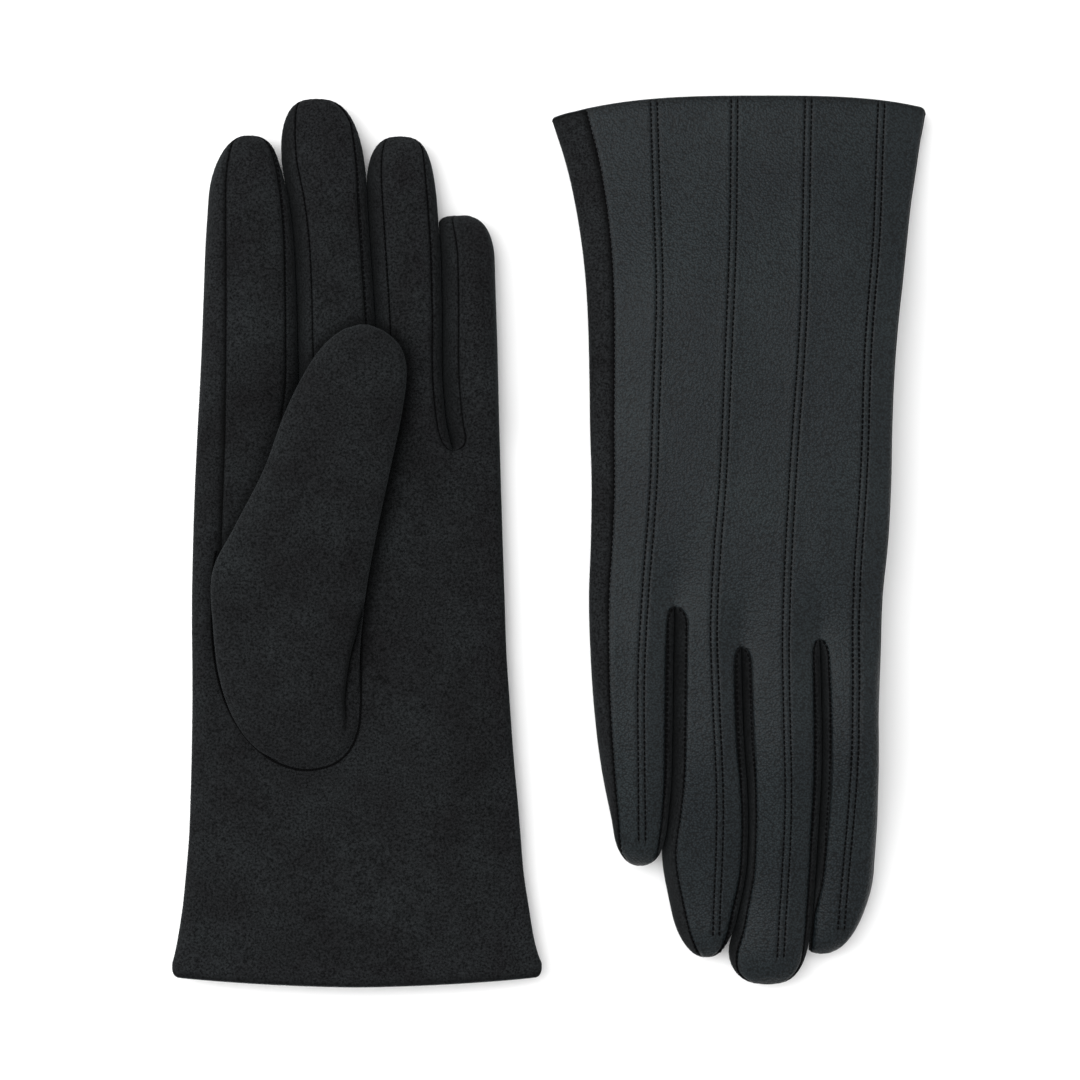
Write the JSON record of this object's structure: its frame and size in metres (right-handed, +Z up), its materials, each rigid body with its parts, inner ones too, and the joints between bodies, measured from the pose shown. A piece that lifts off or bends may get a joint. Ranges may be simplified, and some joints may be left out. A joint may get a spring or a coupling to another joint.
{
  "type": "dress gloves",
  "caption": "Pair of slim dress gloves lying flat, one palm up and one back up, smooth leather backs with stitched points, suede palms, thumbs and fourchettes.",
  "frame": {"origin": "on the resting surface, below the middle of the pair's outline", "axes": "+Y along the left glove's fingers, +Z up, left glove at -X and right glove at +X"},
  "size_m": [0.2036, 0.24, 0.0208],
  "materials": {
    "leather_back": "smooth fine grain, soft sheen",
    "suede": "matt napped suede",
    "lining": "brushed knit",
    "thread": "matt twisted thread"
  },
  "bodies": {
    "left_hand": {"left_back_panel": "leather_back", "left_palm_panel": "suede", "left_fourchette_index_middle": "suede", "left_fourchette_middle_ring": "suede", "left_fourchette_ring_little": "suede", "left_cuff_hem": "leather_back", "left_hand_lining": "lining"},
    "left_index": {"left_index_back": "leather_back", "left_index_palm": "suede", "left_index_fourchette_b": "suede", "left_index_lining": "lining"},
    "left_middle": {"left_middle_back": "leather_back", "left_middle_palm": "suede", "left_middle_fourchette_a": "suede", "left_middle_fourchette_b": "suede", "left_middle_lining": "lining"},
    "left_ring": {"left_ring_back": "leather_back", "left_ring_palm": "suede", "left_ring_fourchette_a": "suede", "left_ring_fourchette_b": "suede", "left_ring_lining": "lining"},
    "left_little": {"left_little_back": "leather_back", "left_little_palm": "suede", "left_little_fourchette_a": "suede", "left_little_lining": "lining"},
    "left_thumb": {"left_thumb_shell": "suede", "left_thumb_lining": "lining"},
    "right_hand": {"right_back_panel": "leather_back", "right_palm_panel": "suede", "right_fourchette_index_middle": "suede", "right_fourchette_middle_ring": "suede", "right_fourchette_ring_little": "suede", "right_cuff_hem": "leather_back", "right_hand_lining": "lining"},
    "right_index": {"right_index_back": "leather_back", "right_index_palm": "suede", "right_index_fourchette_b": "suede", "right_index_lining": "lining"},
    "right_middle": {"right_middle_back": "leather_back", "right_middle_palm": "suede", "right_middle_fourchette_a": "suede", "right_middle_fourchette_b": "suede", "right_middle_lining": "lining"},
    "right_ring": {"right_ring_back": "leather_back", "right_ring_palm": "suede", "right_ring_fourchette_a": "suede", "right_ring_fourchette_b": "suede", "right_ring_lining": "lining"},
    "right_little": {"right_little_back": "leather_back", "right_little_palm": "suede", "right_little_fourchette_a": "suede", "right_little_lining": "lining"},
    "right_thumb": {"right_thumb_shell": "suede", "right_thumb_lining": "lining"}
  },
  "joints": [
    {"name": "right_glove_lift", "type": "slide", "parent": "left_hand", "child": "right_hand", "axis": [0, 0, 1], "range_m": [0, 0.11]},
    {"name": "left_index_bend", "type": "hinge", "parent": "left_hand", "child": "left_index", "pos_m": [-0.08125, 0.066, 0.0106], "axis": [1, 0, 0], "range_deg": [0, 85]},
    {"name": "left_middle_bend", "type": "hinge", "parent": "left_hand", "child": "left_middle", "pos_m": [-0.058, 0.066, 0.0106], "axis": [1, 0, 0], "range_deg": [0, 85]},
    {"name": "left_ring_bend", "type": "hinge", "parent": "left_hand", "child": "left_ring", "pos_m": [-0.03835, 0.064, 0.0106], "axis": [1, 0, 0], "range_deg": [0, 85]},
    {"name": "left_little_bend", "type": "hinge", "parent": "left_hand", "child": "left_little", "pos_m": [-0.02135, 0.054, 0.0106], "axis": [1, 0, 0], "range_deg": [0, 85]},
    {"name": "left_thumb_swing", "type": "hinge", "parent": "left_hand", "child": "left_thumb", "pos_m": [-0.0725, -0.021, 0.016], "axis": [0, 0, 1], "range_deg": [0, 50]},
    {"name": "right_index_bend", "type": "hinge", "parent": "right_hand", "child": "right_index", "pos_m": [0.0813, -0.066, 0.0098], "axis": [1, 0, 0], "range_deg": [0, 85]},
    {"name": "right_middle_bend", "type": "hinge", "parent": "right_hand", "child": "right_middle", "pos_m": [0.06275, -0.066, 0.0098], "axis": [1, 0, 0], "range_deg": [0, 85]},
    {"name": "right_ring_bend", "type": "hinge", "parent": "right_hand", "child": "right_ring", "pos_m": [0.04275, -0.064, 0.0098], "axis": [1, 0, 0], "range_deg": [0, 85]},
    {"name": "right_little_bend", "type": "hinge", "parent": "right_hand", "child": "right_little", "pos_m": [0.02295, -0.054, 0.0098], "axis": [1, 0, 0], "range_deg": [0, 85]},
    {"name": "right_thumb_swing", "type": "hinge", "parent": "right_hand", "child": "right_thumb", "pos_m": [0.0725, 0.021, 0.005], "axis": [0, 0, 1], "range_deg": [0, 50]}
  ]
}
